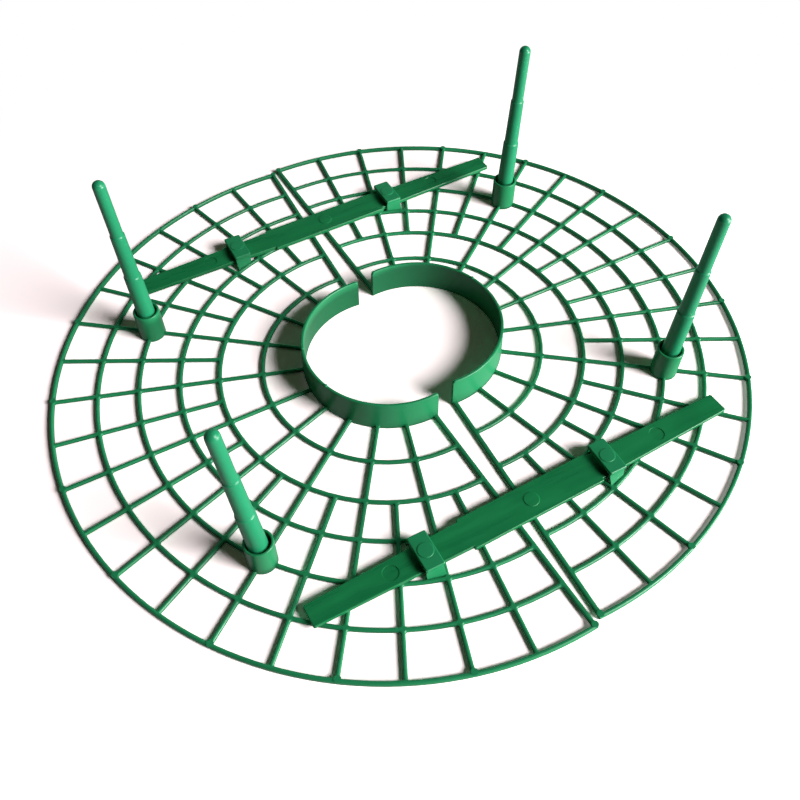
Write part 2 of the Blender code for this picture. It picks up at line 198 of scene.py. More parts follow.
class StageSettings(bpy.types.PropertyGroup):
    """Floor, light and camera."""

    floor: strength("Floor brightness", "How light the floor looks to the camera", 2.7)
    gleam: strength("Floor gleam", "How light the floor looks in reflections", 0.7)
    tint: colour("Floor tint", "Colour of the shadows on the floor", (1.0, 0.88, 0.89))
    plain_from: length("Plain floor from", "Where the floor starts to turn plain white", 0.17)
    plain_past: length("Plain floor past", "Where the floor has turned plain white", 0.31)
    bounce: factor("Floor bounce", "How much light the floor returns", 0.65)
    bearing: angle("Light bearing", "Turned from +X", -53.0)
    height: angle("Light height", "Angle above the floor", 34.0)
    distance: length("Light distance", "From the middle of the floor", 2.6)
    width: length("Light width", "Diameter of both round lights", 1.25)
    power: power("Light power", "Power of the light", 67.0)
    back_bearing: angle("Back light bearing", "Turned from +X", 68.0)
    back_height: angle("Back light height", "Angle above the floor", 28.0)
    back_power: power("Back light power", "Power of the back light", 20.0)
    strip_bearing: angle("Strip bearing", "Turned from +X", -45.0)
    strip_distance: length("Strip distance", "From the middle of the floor", 1.3)
    strip_width: length("Strip width", "Width of the low strip light", 0.7)
    strip_height: length("Strip height", "Height of the low strip light", 0.06)
    strip_power: power("Strip power", "Power of the low strip light", 21.0)
    sky: strength("Sky", "Strength of the light from all round", 0.013)
    sky_tint: colour("Sky tint", "Colour of the light from all round", (1.0, 0.80, 0.62))
    camera: lengths("Camera place", "Where the camera stands", (-0.120569, -0.224488, 0.289727))
    right: heading("Camera right", "Direction to the right of the picture", (0.88101, -0.47307, -0.00464))
    up: heading("Camera up", "Direction to the top of the picture", (0.37529, 0.69287, 0.61570))
    lens: strength("Focal length", "Focal length in millimetres", 37.655)


class SupportSettings(bpy.types.PropertyGroup):
    """All sizes and finishes of the plant support."""

    grid: PointerProperty(type=GridSizes)
    collar: PointerProperty(type=CollarSizes)
    socket: PointerProperty(type=SocketSizes)
    loop: PointerProperty(type=LoopSizes)
    bar: PointerProperty(type=BarSizes)
    leg: PointerProperty(type=LegSizes)
    finish: PointerProperty(type=Finishes)
    stage: PointerProperty(type=StageSettings)


# Node trees as expressions

NODES_IN_ROW = 14
NODE_SPACING = (200, -260)


def arithmetic(operation, reflected=False):
    """Makes the method of a wire that adds one Math node."""
    def method(self, other):
        return self.maker.math(operation, *((other, self) if reflected else (self, other)))
    return method


class Wire:
    """The output of a node; arithmetic on it adds Math nodes."""

    def __init__(self, maker, output):
        self.maker = maker
        self.output = output

    __add__ = __radd__ = arithmetic("ADD")
    __sub__, __rsub__ = arithmetic("SUBTRACT"), arithmetic("SUBTRACT", reflected=True)
    __mul__ = __rmul__ = arithmetic("MULTIPLY")
    __truediv__, __rtruediv__ = arithmetic("DIVIDE"), arithmetic("DIVIDE", reflected=True)

    def other(self, name):
        """Another output of the same node."""
        return Wire(self.maker, self.output.node.outputs[name])


class Maker:
    """Adds nodes to a node tree."""

    def __init__(self, tree):
        self.tree = tree

    def node(self, kind, settings=None, values=None, output=0):
        """Adds one node with its settings, then the values or links of its sockets."""
        made = self.tree.nodes.new(kind)
        row, column = divmod(len(self.tree.nodes), NODES_IN_ROW)
        made.location = (NODE_SPACING[0] * column, NODE_SPACING[1] * row)
        for name, setting in (settings or {}).items():
            if name == "stops":
                for element, (place, grey) in zip(made.color_ramp.elements, setting):
                    fill(element, position=place, color=(grey, grey, grey, 1.0))
            else:
                setattr(made, name, setting)
        for key, value in (values or {}).items():
            if isinstance(value, Wire):
                self.tree.links.new(value.output, made.inputs[key])
            else:
                made.inputs[key].default_value = value
        return Wire(self, made.outputs[output]) if made.outputs else made

    def math(self, operation, *values):
        """Adds one Math node."""
        return self.node("ShaderNodeMath", {"operation": operation}, dict(enumerate(values)))

    def vector(self, x=0.0, y=0.0, z=0.0):
        """Makes a vector of its parts."""
        return self.node("ShaderNodeCombineXYZ", values={"X": x, "Y": y, "Z": z})

    def parts(self, vector):
        """The X part of a vector; the Y part is another output of the same node."""
        return self.node("ShaderNodeSeparateXYZ", values={0: vector})

    def reach(self, vector):
        """The length of a vector."""
        return self.node("ShaderNodeVectorMath", {"operation": "LENGTH"}, {0: vector}, output="Value")

    def mixed(self, share, first, second):
        """Mixes two shaders."""
        return self.node("ShaderNodeMixShader", values={0: share, 1: first, 2: second})


class GroupMaker(Maker):
    """A geometry node tree with named inputs, given by kind, and one geometry output."""

    def __init__(self, name, **inputs):
        super().__init__(bpy.data.node_groups.new(name, "GeometryNodeTree"))
        self.tree.interface.new_socket("Geometry", in_out="OUTPUT", socket_type="NodeSocketGeometry")
        for kind, labels in inputs.items():
            for label in labels:
                self.tree.interface.new_socket(label, in_out="INPUT", socket_type="NodeSocket" + kind)
        self.source = self.tree.nodes.new("NodeGroupInput")
        self.sink = self.tree.nodes.new("NodeGroupOutput")

    def __getitem__(self, name):
        """A named input of the tree."""
        return Wire(self, self.source.outputs[name])

    def on_circle(self, radius, bearing):
        """A place at a radius and a bearing."""
        return self.vector(radius * self.math("COSINE", bearing), radius * self.math("SINE", bearing))

    def noted(self, geometry, name, value, kind="FLOAT"):
        """Notes a value at each point of a geometry."""
        return self.node("GeometryNodeStoreNamedAttribute", {"data_type": kind, "domain": "POINT"},
                         {"Geometry": geometry, "Name": name, "Value": value})

    def recalled(self, name, kind="FLOAT"):
        """Reads a value noted at each point."""
        return self.node("GeometryNodeInputNamedAttribute", {"data_type": kind}, {"Name": name})

    def placed(self, geometry, values):
        """Moves points to a position or by an offset."""
        return self.node("GeometryNodeSetPosition", values={"Geometry": geometry, **values})

    def copied(self, shape, points, scale=(1.0, 1.0, 1.0)):
        """Puts a copy of a shape on each point."""
        copies = self.node("GeometryNodeInstanceOnPoints",
                           values={"Points": points, "Instance": shape, "Scale": scale})
        return self.realized(copies)

    def realized(self, geometry):
        """Turns copies into real geometry."""
        return self.node("GeometryNodeRealizeInstances", values={"Geometry": geometry})

    def joined(self, parts):
        """Joins geometry."""
        made = self.tree.nodes.new("GeometryNodeJoinGeometry")
        for part in parts:
            self.tree.links.new(part.output, made.inputs[0])
        return Wire(self, made.outputs[0])

    def finish(self, geometry):
        """Links the result and returns the tree."""
        self.tree.links.new(geometry.output, self.sink.inputs[0])
        return self.tree


# Meshes

# Distances under which points become one, by how a mesh is made
WELD = 0.0000005
WEB_WELD = 0.000001
SLAB_WELD = 0.000002
TURNED_WELD = 0.000005

FLAT_ANGLE = radians(0.2)
SHARP_ANGLE = radians(38.0)


def fill(item, **settings):
    """Sets several properties of one item."""
    for name, value in settings.items():
        setattr(item, name, value)


def on_circle(radius, bearing, height=0.0):
    """A point at a radius, a bearing and a height."""
    return Vector((radius * cos(bearing), radius * sin(bearing), height))


def link(name, data):
    """Adds a mesh, curve, lamp or lens to the scene as an object at the origin."""
    made = bpy.data.objects.new(name, data)
    bpy.context.scene.collection.objects.link(made)
    return made


@contextmanager
def edited(mesh):
    """Opens a mesh for editing and writes it back."""
    work = bmesh.new()
    work.from_mesh(mesh)
    yield work
    work.to_mesh(mesh)
    work.free()


def baked(source, name, weld=WELD):
    """The finished mesh of an object, with its modifiers, in world space and welded."""
    bpy.context.view_layer.update()
    graph = bpy.context.evaluated_depsgraph_get()
    mesh = bpy.data.meshes.new_from_object(source.evaluated_get(graph), depsgraph=graph)
    mesh.name = name
    mesh.transform(source.matrix_world)
    with edited(mesh) as work:
        bmesh.ops.remove_doubles(work, verts=work.verts, dist=weld)
        bmesh.ops.recalc_face_normals(work, faces=work.faces)
    data = source.data
    bpy.data.objects.remove(source, do_unlink=True)
    if isinstance(data, bpy.types.Curve):
        bpy.data.curves.remove(data)
    return mesh


def softened(mesh, width, limit=50.0):
    """Rounds the edges of a mesh that are sharper than a limit in degrees."""
    source = link(mesh.name, mesh)
    fill(source.modifiers.new("edges", "BEVEL"), width=width, segments=2, limit_method="ANGLE",
         angle_limit=radians(limit))
    return baked(source, mesh.name)


def lofted(name, rings):
    """Skins a row of equal rings of points, with a face at each end."""
    mesh = bpy.data.meshes.new(name)
    with edited(mesh) as work:
        rows = [[work.verts.new(point) for point in ring] for ring in rings]
        for low, high in zip(rows, rows[1:]):
            for i, corner in enumerate(low):
                j = (i + 1) % len(low)
                work.faces.new((corner, low[j], high[j], high[i]))
        work.faces.new(rows[0])
        work.faces.new(list(reversed(rows[-1])))
        bmesh.ops.recalc_face_normals(work, faces=work.faces)
    return mesh


def turned(name, profile, sides):
    """Turns a profile of radius and height pairs about the Z axis."""
    mesh = bpy.data.meshes.new(name)
    count = len(profile)
    mesh.from_pydata([(r, 0.0, z) for r, z in profile], [(i, i + 1) for i in range(count - 1)], [])
    source = link(name, mesh)
    fill(source.modifiers.new("turn", "SCREW"), steps=sides, render_steps=sides,
         use_merge_vertices=True, merge_threshold=TURNED_WELD)
    return baked(source, name, TURNED_WELD)


def slab(name, outline, bottom, top, edge):
    """A flat outline given a thickness and rounded edges."""
    curve = bpy.data.curves.new(name, "CURVE")
    fill(curve, dimensions="2D", fill_mode="BOTH", extrude=(top - bottom) / 2 - edge, bevel_depth=edge,
         bevel_resolution=2, offset=-edge)
    spline = curve.splines.new("POLY")
    spline.points.add(len(outline) - 1)
    for point, place in zip(spline.points, outline):
        point.co = (*place, 0.0, 1.0)
    spline.use_cyclic_u = True
    source = link(name, curve)
    source.location.z = (top + bottom) / 2
    return baked(source, name, SLAB_WELD)


def joined_flats(mesh):
    """Joins neighbouring faces that lie in one plane, so that large flats shade evenly."""
    with edited(mesh) as work:
        bmesh.ops.dissolve_limit(work, angle_limit=FLAT_ANGLE, verts=work.verts, edges=work.edges)
    return mesh


def gathered(name, meshes):
    """Several meshes as one."""
    made = bpy.data.meshes.new(name)
    with edited(made) as work:
        for mesh in meshes:
            work.from_mesh(mesh)
    return made


def carved(mesh, cutter):
    """A mesh with a cutter taken out of it."""
    source, tool = link(mesh.name, mesh), link("cutter", cutter)
    fill(source.modifiers.new("carve", "BOOLEAN"), operation="DIFFERENCE", solver="EXACT", object=tool)
    made = baked(source, mesh.name)
    bpy.data.objects.remove(tool, do_unlink=True)
    return made


def moved(mesh, place):
    """A copy of a mesh at another place."""
    made = mesh.copy()
    made.transform(place)
    return made


def rounded_profile(corners, steps=4):
    """Points of a closed profile whose corners, given as x, y and radius, are rounded."""
    points = []
    count = len(corners)
    for i, (x, y, radius) in enumerate(corners):
        here = Vector((x, y))
        if radius == 0.0:
            points.append(here)
            continue
        back = (Vector(corners[i - 1][:2]) - here).normalized()
        ahead = (Vector(corners[(i + 1) % count][:2]) - here).normalized()
        half = back.angle(ahead) / 2
        centre = here + (back + ahead).normalized() * (radius / sin(half))
        start = here + back * (radius / tan(half)) - centre
        end = here + ahead * (radius / tan(half)) - centre
        for step in range(steps + 1):
            points.append(centre + start.lerp(end, step / steps).normalized() * radius)
    return points


def show(name, mesh, body, nodes, kind, finish):
    """Finishes one visible piece: smooth faces, plastic of its kind, its body, and hides the nodes that it
    stands for.
    """
    mesh.shade_smooth()
    mesh.set_sharp_from_angle(angle=SHARP_ANGLE)
    mesh.materials.clear()
    mesh.materials.append(plastic(kind, finish))
    piece = link(name, mesh)
    fill(piece.modifiers.new("even shading", "WEIGHTED_NORMAL"), keep_sharp=True)
    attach(piece, body)
    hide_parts(*nodes)


def half_place(grid, side):
    """Where the ring centre of a half lies; the left half is turned round."""
    swing = Matrix.Rotation(0.0 if side > 0 else pi, 4, "Z")
    return Matrix.Translation((side * grid.half_shift, side * grid.slip, 0.0)) @ swing


def show_halves(name, mesh, settings):
    """Shows one mesh of a half grid on both halves."""
    for word, side in SIDES.items():
        placed = moved(mesh, half_place(settings.grid, side))
        show(f"{name}_{word}", placed, f"half_{word}", [f"grid_half_{word}"], "grid", settings.finish)


# Finishes

# Scales of the patterns in the plastic, and the turn of the handling marks
CLOUD_SCALE, GRAIN_SCALE = 38.0, 2600.0
FLOW_SCALE, SCUFF_SCALE = (36.0, 300.0, 300.0), (60.0, 1500.0, 700.0)
SCUFF_TURN = (0.4, 0.3, 0.9)
SCUFF_STOPS = ((0.62, 0.0), (0.72, 1.0))

# How strongly they act on the colour, the roughness and the relief
DARKEST, LIGHTEST, CLOUD_TINT = 0.72, 1.28, 0.6
CLOUD_ROUGHNESS, SCUFF_ROUGHNESS, FLOW_ROUGHNESS = 0.10, 0.12, 0.5
GRAIN_HEIGHT, SCUFF_DEPTH, RELIEF = 0.5, 0.3, 0.0003


def plastic(kind, finish):
    """Moulded plastic with slight colour clouds, fine grain, handling marks and, on bars, flow lines."""
    name = f"{kind} plastic"
    if name in bpy.data.materials:
        return bpy.data.materials[name]
    shade = getattr(finish, kind)
    streaks = finish.flow if kind == "bar" else 0.0
    material = bpy.data.materials.new(name)
    material.use_nodes = True
    material.diffuse_color = (*shade, 1.0)
    maker = Maker(material.node_tree)
    place = maker.node("ShaderNodeTexCoord", output="Object")

    def noise(detail, scale=1.0, vector=place):
        """Soft noise of one scale."""
        return maker.node("ShaderNodeTexNoise", values={"Vector": vector, "Scale": scale, "Detail": detail})

    def stretched(scale, turn=(0.0, 0.0, 0.0)):
        """Coordinates of a stretched pattern."""
        return maker.node("ShaderNodeMapping", values={"Vector": place, "Rotation": turn, "Scale": scale})

    clouds = noise(3.0, CLOUD_SCALE) - 0.5
    grain = noise(2.0, GRAIN_SCALE)
    flow = noise(3.0, vector=stretched(FLOW_SCALE)) - 0.5
    scuffs = noise(2.0, vector=stretched(SCUFF_SCALE, SCUFF_TURN))
    scuffs = maker.node("ShaderNodeValToRGB", {"stops": SCUFF_STOPS}, {"Fac": scuffs})
    tint = maker.node("ShaderNodeMix", {"data_type": "RGBA", "clamp_factor": True}, {
        "Factor": clouds * CLOUD_TINT + flow * streaks + 0.5,
        "A": (*(part * DARKEST for part in shade), 1.0),
        "B": (*(min(1.0, part * LIGHTEST) for part in shade), 1.0)}, output=2)
    rough = finish.roughness + clouds * CLOUD_ROUGHNESS + scuffs * SCUFF_ROUGHNESS
    rough = rough + flow * (FLOW_ROUGHNESS * streaks)
    relief = maker.node("ShaderNodeBump", values={
        "Strength": finish.grain, "Distance": RELIEF,
        "Height": grain * GRAIN_HEIGHT + flow * streaks - scuffs * SCUFF_DEPTH})
    shader = material.node_tree.nodes["Principled BSDF"]
    shader.inputs["Specular IOR Level"].default_value = finish.shine
    for socket, wire in (("Base Color", tint), ("Roughness", rough), ("Normal", relief)):
        material.node_tree.links.new(wire.output, shader.inputs[socket])
    return material


def floor_paint(stage):
    """White that looks brighter than the light it returns, and plain white far from the object."""
    material = bpy.data.materials.new("white floor")
    material.use_nodes = True
    material.node_tree.nodes.clear()
    maker = Maker(material.node_tree)
    seen = maker.node("ShaderNodeLightPath", output="Is Camera Ray")
    paints = ([stage.bounce] * 3, [stage.gleam] * 3, [stage.floor * part for part in stage.tint])
    plain, gleam, bright = (maker.node("ShaderNodeBsdfDiffuse", values={"Color": (*paint, 1.0)})
                            for paint in paints)
    reach = maker.reach(maker.node("ShaderNodeTexCoord", output="Object"))
    far = maker.node("ShaderNodeMapRange", {"interpolation_type": "SMOOTHSTEP"}, {
        "Value": reach, "From Min": stage.plain_from, "From Max": stage.plain_past})
    glow = maker.node("ShaderNodeEmission", values={"Color": WHITE, "Strength": 1.0})
    unseen = maker.mixed(seen.other("Is Glossy Ray"), plain, gleam)
    surface = maker.mixed(seen, unseen, maker.mixed(far, bright, glow))
    maker.node("ShaderNodeOutputMaterial", values={"Surface": surface})
    return material


# Grid made by rule

SHARED_SIZES = ("Spoke pitch", "Collar radius", "Rim radius", "Seam at collar", "Seam at rim",
                "Spoke width", "Seam bar width")
RINGS = tuple(f"Ring {number}" for number in range(1, 6))
SAME_SPOKE = 0.1  # difference under which two spoke numbers count as one
COUNT_GUARD = 0.01  # keeps a whole number from being rounded down
CORNER_STEPS = 3
EDGE_STEPS = 3
OPENING_CUTS = 2
ARC_CUTS = 90
KNOB_SIDES = 24

# Shares of the collar's wall and of the rim that the spokes run into
INTO_COLLAR, THROUGH_COLLAR = 0.3, 0.7
INTO_RIM, FREE_OF_RIM = 0.2, 0.45
RIM_TURN = 0.8  # share of the spoke's width by which the rim runs past the seam bars
EDGE_START, EDGE_GROWTH = 0.0002, 0.0009  # where rounded edges begin at the collar, and reach full size
KNOB_FOOT, KNOB_EDGE = 0.05, 0.6  # shares of the grid's height and of its edge radius


def spoke_bearing(maker, spoke, radius):
    """Bearing of a spoke, counted in half steps from one seam bar, and whether it is a seam bar."""
    last = maker["Main spokes"] * 2.0 - 2.0
    first_one = maker.math("COMPARE", spoke, 0.0, SAME_SPOKE)
    last_one = maker.math("COMPARE", spoke, last, SAME_SPOKE)
    collar, at_collar = maker["Collar radius"], maker["Seam at collar"]
    across = (radius - collar) / (maker["Rim radius"] - collar)
    seam = maker.math("ARCCOSINE", (at_collar + across * (maker["Seam at rim"] - at_collar)) / radius)
    plain = (spoke - last * 0.5) * (maker["Spoke pitch"] * 0.5)
    return plain * (1.0 - first_one - last_one) + seam * (last_one - first_one), first_one + last_one


def spoke_edge(maker, spoke, radius, direction):
    """Bearing of one edge of a spoke."""
    bearing, on_seam = spoke_bearing(maker, spoke, radius)
    width = maker["Spoke width"] + on_seam * (maker["Seam bar width"] - maker["Spoke width"])
    return bearing + direction * maker.math("ARCSINE", width * 0.5 / radius)


def bent_outline_tree():
    """Closed outlines between two radii and two spokes, one for each value of the index."""
    maker = GroupMaker("bent outlines", Int=("Count", "Cuts", "Main spokes"), Float=(
        "Inner radius", "Outer radius", "First spoke", "Last spoke", "Direction", "Corner radius",
        *SHARED_SIZES))
    inner, outer = maker["Inner radius"], maker["Outer radius"]
    low, high = maker["First spoke"], maker["Last spoke"]
    middle = (inner + outer) * 0.5
    span = spoke_bearing(maker, high, middle)[0] - spoke_bearing(maker, low, middle)[0]
    kept = {"inner": inner, "outer": outer, "low": low, "high": high, "wide": span * middle}
    points = maker.node("GeometryNodePoints", values={"Count": maker["Count"]})
    for name, value in kept.items():
        points = maker.noted(points, name, value)
    square = maker.node("GeometryNodeCurvePrimitiveQuadrilateral", values={"Width": 1.0, "Height": 1.0})
    loose = maker.copied(square, points, maker.vector(kept["wide"], outer - inner, 1.0))
    rounded = maker.node("GeometryNodeFilletCurve", {"mode": "POLY"}, {
        "Curve": loose, "Count": CORNER_STEPS, "Radius": maker["Corner radius"], "Limit Radius": True})
    fine = maker.node("GeometryNodeSubdivideCurve", values={"Curve": rounded, "Cuts": maker["Cuts"]})
    read = {name: maker.recalled(name) for name in kept}
    spot = maker.parts(maker.node("GeometryNodeInputPosition"))
    radius = (read["inner"] + read["outer"]) * 0.5 + spot.other("Y")
    start = spoke_edge(maker, read["low"], radius, maker["Direction"])
    end = spoke_edge(maker, read["high"], radius, maker["Direction"] * -1.0)
    bearing = start + (spot / read["wide"] + 0.5) * (end - start)
    return maker.finish(maker.placed(fine, {"Position": maker.on_circle(radius, bearing)}))


def sided(maker, outlines, x, y):
    """Notes at each point of an outline which way the plastic lies."""
    return maker.noted(outlines, "side", maker.vector(x, y), "FLOAT_VECTOR")


def shifted(maker, inset, height=0.0):
    """An offset into the plastic and up."""
    side = maker.parts(maker.recalled("side", "FLOAT_VECTOR"))
    return {"Offset": maker.vector(side * inset, side.other("Y") * inset, height)}


def raised(maker, outlines, bottom, top, edge, foot):
    """Gives flat outlines a thickness, with a rounded top edge and a small slope at the foot."""
    rows = [(foot, bottom), (0.0, bottom + foot)]
    for step in range(EDGE_STEPS + 1):
        turn = pi / 2 * step / EDGE_STEPS
        rows.append((edge * (1.0 - cos(turn)), top - edge * (1.0 - sin(turn))))
    flats = []
    for inset, height in (rows[0], rows[-1]):
        flat = maker.placed(outlines, shifted(maker, inset))
        flat = maker.node("GeometryNodeFillCurve", {"mode": "NGONS"}, {"Curve": flat})
        flats.append(maker.placed(flat, {"Offset": maker.vector(z=height)}))
    wall = maker.placed(outlines, shifted(maker, *rows[0]))
    wall = maker.node("GeometryNodeCurveToMesh", values={"Curve": wall})
    newest = {}
    for (inset, height), (next_inset, next_height) in zip(rows, rows[1:]):
        wall = maker.node("GeometryNodeExtrudeMesh", {"mode": "EDGES"}, {
            "Mesh": wall, "Offset": maker.vector(z=next_height - height), "Offset Scale": 1.0, **newest})
        newest = {"Selection": wall.other("Top")}
        wall = maker.placed(wall, {**shifted(maker, next_inset - inset), **newest})
    both = maker.joined([wall, *flats])
    return maker.node("GeometryNodeMergeByDistance", values={"Geometry": both, "Distance": WEB_WELD})


def web_tree():
    """One half grid: rings and spokes around openings, a taller rim and a knob at each main spoke."""
    rule = bent_outline_tree()
    maker = GroupMaker("ring web", Int=("Main spokes", "First split band"), Material=("Plastic",), Float=(
        *SHARED_SIZES, *RINGS, "Collar wall", "Rim width", "Corner radius", "Edge radius", "Foot edge",
        "Grid top", "Grid underside", "Rim top", "Knob width", "Knob top", "Knob inset"))
    collar, wall, top = maker["Collar radius"], maker["Collar wall"], maker["Grid top"]
    rim, rim_width = maker["Rim radius"], maker["Rim width"]
    edge, foot = maker["Edge radius"], maker["Foot edge"]

    def ruled(count, radii, spokes, direction, corner, cuts):
        """Outlines by the shared rule."""
        values = {name: maker[name] for name in ("Main spokes", *SHARED_SIZES)}
        values.update({"Count": count, "Inner radius": radii[0], "Outer radius": radii[1],
                       "First spoke": spokes[0], "Last spoke": spokes[1], "Direction": direction,
                       "Corner radius": corner, "Cuts": cuts})
        return maker.node("GeometryNodeGroup", {"node_tree": rule}, values)

    # The openings are numbered band by band; bands past the split have two openings to a main spoke
    index = maker.node("GeometryNodeInputIndex")
    sectors, split = maker["Main spokes"] - 1.0, maker["First split band"]
    whole = sectors * split
    outside = maker.math("LESS_THAN", whole - 0.5, index)
    place = index - whole * outside
    per_band = sectors * (1.0 + outside)
    row = maker.math("FLOOR", (place + COUNT_GUARD) / per_band)
    band = row + split * outside
    first = (place - row * per_band) * (2.0 - outside)
    last = first + 2.0 - outside
    rings, half_ring = [maker[name] for name in RINGS], maker["Spoke width"] * 0.5
    inner_edges = [collar - wall * INTO_COLLAR, *(ring + half_ring for ring in rings)]
    outer_edges = [*(ring - half_ring for ring in rings), rim - rim_width * INTO_RIM]
    radii = []
    for edges in (inner_edges, outer_edges):
        picked = edges[0]
        for i, radius in enumerate(edges[1:]):
            picked = picked + maker.math("GREATER_THAN", band, i + 0.5) * (radius - picked)
        radii.append(picked)
    bands, half_steps = len(RINGS) + 1.0, sectors * 2.0
    openings = ruled(whole + half_steps * (bands - split), radii, (first, last), 1.0,
                     maker["Corner radius"], OPENING_CUTS)

    # The edges are rounded between the collar and the rim
    spot = maker.node("GeometryNodeInputPosition")
    reach = maker.reach(spot)
    spot = maker.parts(spot)
    along = maker.parts(maker.node("GeometryNodeInputTangent"))
    free = maker.node("ShaderNodeClamp", values={"Value": (reach - collar + EDGE_START) / EDGE_GROWTH})
    free = free * maker.math("LESS_THAN", reach, rim - rim_width * FREE_OF_RIM)
    border = ruled(1, (collar - wall * THROUGH_COLLAR, rim + rim_width * INTO_RIM), (0.0, half_steps),
                   -1.0, 0.0, ARC_CUTS)
    outlines = maker.joined([sided(maker, border, along.other("Y") * free, along * -1.0 * free),
                             sided(maker, openings, along.other("Y") * -1.0 * free, along * free)])
    plate = raised(maker, outlines, maker["Grid underside"], top, edge, foot)

    rim_half = rim_width * 0.5
    rim_line = ruled(1, (rim - rim_half, rim + rim_half), (0.0, half_steps), -RIM_TURN, 0.0, ARC_CUTS)
    to_middle = (rim - reach) / rim_half / reach
    rim_line = sided(maker, rim_line, spot * to_middle, spot.other("Y") * to_middle)
    outer_ring = raised(maker, rim_line, 0.0, maker["Rim top"], edge, foot)

    posts = maker.node("GeometryNodePoints", values={"Count": maker["Main spokes"]})
    step = maker.math("ARCCOSINE", maker["Seam at rim"] / rim) / (sectors * 0.5)
    posts = maker.placed(posts, {
        "Position": maker.on_circle(rim - maker["Knob inset"], (index - sectors * 0.5) * step)})
    round_one = maker.node("GeometryNodeCurvePrimitiveCircle", values={
        "Resolution": KNOB_SIDES, "Radius": maker["Knob width"] * 0.5})
    knobs = sided(maker, maker.copied(round_one, posts), along.other("Y"), along * -1.0)
    knobs = raised(maker, knobs, top * KNOB_FOOT, maker["Knob top"], edge * KNOB_EDGE, foot)

    web = maker.realized(maker.joined([plate, outer_ring, knobs]))
    return maker.finish(maker.node("GeometryNodeSetMaterial", values={
        "Geometry": web, "Material": maker["Plastic"]}))


def web_mesh(settings):
    """Runs the grid's node tree, whose inputs have the names of the grid's sizes."""
    grid, collar = settings.grid, settings.collar
    values = {item.name: getattr(grid, key) for key, item in grid.bl_rna.properties.items()}
    values.update(zip(RINGS, grid.rings))
    for word, gap in (("collar", grid.gap_at_collar), ("rim", grid.gap_at_rim)):
        values[f"Seam at {word}"] = gap / 2 + grid.seam_width / 2 - grid.half_shift
    values.update({"Collar radius": collar.radius, "Collar wall": collar.wall,
                   "Plastic": plastic("grid", settings.finish)})
    source = link("web", bpy.data.meshes.new("web"))
    step = source.modifiers.new("ring web", "NODES")
    step.node_group = web_tree()
    for item in step.node_group.interface.items_tree:
        if item.in_out == "INPUT":
            step[item.identifier] = values[item.name]
    return baked(source, "web", WEB_WELD)


# Other meshes of a half grid

COLLAR_STEPS = 58  # along half of the wall, between its rounded corners
CORNER_SHARES = (0.0, 0.03, 0.12, 0.27, 0.46, 0.7, 1.0)
LIP_ROUNDING, WALL_ROUNDING = 0.3, 0.2  # shares of the wall's thickness
PIP_SIDES, SOCKET_SIDES, MARK_SIDES = 20, 56, 48

# Profiles of round marks from the middle out: share of the radius and height over the lip of the collar,
# then distance from the rim of the mark, share of its height and height over the face
PIP_PROFILE = ((0.0, -0.0006), (1.0, -0.0006), (1.0, 0.0001), (0.85, 0.00032), (0.5, 0.00046),
               (0.0, 0.0005))
PAD_PROFILE = ((0.0, 0.0, -0.0004), (0.0, 0.5, 0.0), (0.00015, 0.9, 0.0), (0.0004, 1.0, 0.0))
CUTTER_PROFILE = ((-0.00005, 0.0, 0.001), (0.0, 0.0, 0.0), (0.00012, -1.0, 0.0))

FLARE_STEPS, FLARE_POWER = 6, 1.6
LOOP_CORNER = 0.0007
LOOP_ON_RING = 0.3  # share of the ring's width at which the outer face of a wall lands
LOOP_WALL_EDGE, LOOP_WALL_LIMIT = 0.00022, 60.0
LOOP_INTO_GRID = 0.0012  # how far below the top of the grid the walls of a loop end


def collar_mesh(settings):
    """The collar wall, a rounded profile carried round the plant hole, with two pips on its lip."""
    grid, collar = settings.grid, settings.collar
    end = acos((grid.gap_at_collar / 2 - grid.half_shift - collar.overhang) / collar.radius)
    corner = collar.corner / collar.radius
    turns = [end - corner * share for share in CORNER_SHARES]
    turns += [(end - corner) * (1 - i / COLLAR_STEPS) for i in range(1, COLLAR_STEPS + 1)]
    turns += [-turn for turn in reversed(turns[:-1])]
    lip = collar.radius - collar.draft
    rings = []
    for swing in turns:
        inside = min(1.0, (end - abs(swing)) / corner)
        top = collar.top - collar.corner * (1 - sqrt(1 - (1 - inside) ** 2))
        profile = rounded_profile([
            (collar.radius - collar.wall, collar.bottom, 0.0),
            (collar.radius, collar.bottom, 0.0),
            (lip, top, collar.wall * LIP_ROUNDING),
            (lip - collar.wall, top, collar.wall * LIP_ROUNDING)])
        rings.append([on_circle(p.x, swing, p.y) for p in profile])
    wall = softened(lofted("collar", rings), collar.wall * WALL_ROUNDING)
    pip = turned("pip", [(collar.pip / 2 * share, height) for share, height in PIP_PROFILE], PIP_SIDES)
    pips = [moved(pip, Matrix.Translation(on_circle(lip - collar.wall / 2, swing, collar.top)))
            for swing in (-grid.pitch, grid.pitch)]
    return gathered("collar", [wall, *pips])


def socket_mesh(settings):
    """One round cup, standing at the origin."""
    cup = settings.socket
    outline = rounded_profile([
        (0.0, cup.floor, 0.0), (cup.bore / 2, cup.floor, 0.0), (cup.bore / 2, cup.top, cup.lip),
        (cup.outer / 2, cup.top, cup.lip), (cup.outer / 2, cup.bottom, cup.lip / 2),
        (0.0, cup.bottom, 0.0)])
    return turned("socket", outline, SOCKET_SIDES)


def socket_places(grid):
    """Ring-centre places of the two cups of a half."""
    middle = (grid.main_spokes - 1) / 2
    return [Matrix.Translation(on_circle(grid.rings[SOCKET_RING], (number - middle) * grid.pitch))
            for number in SOCKET_SPOKES]


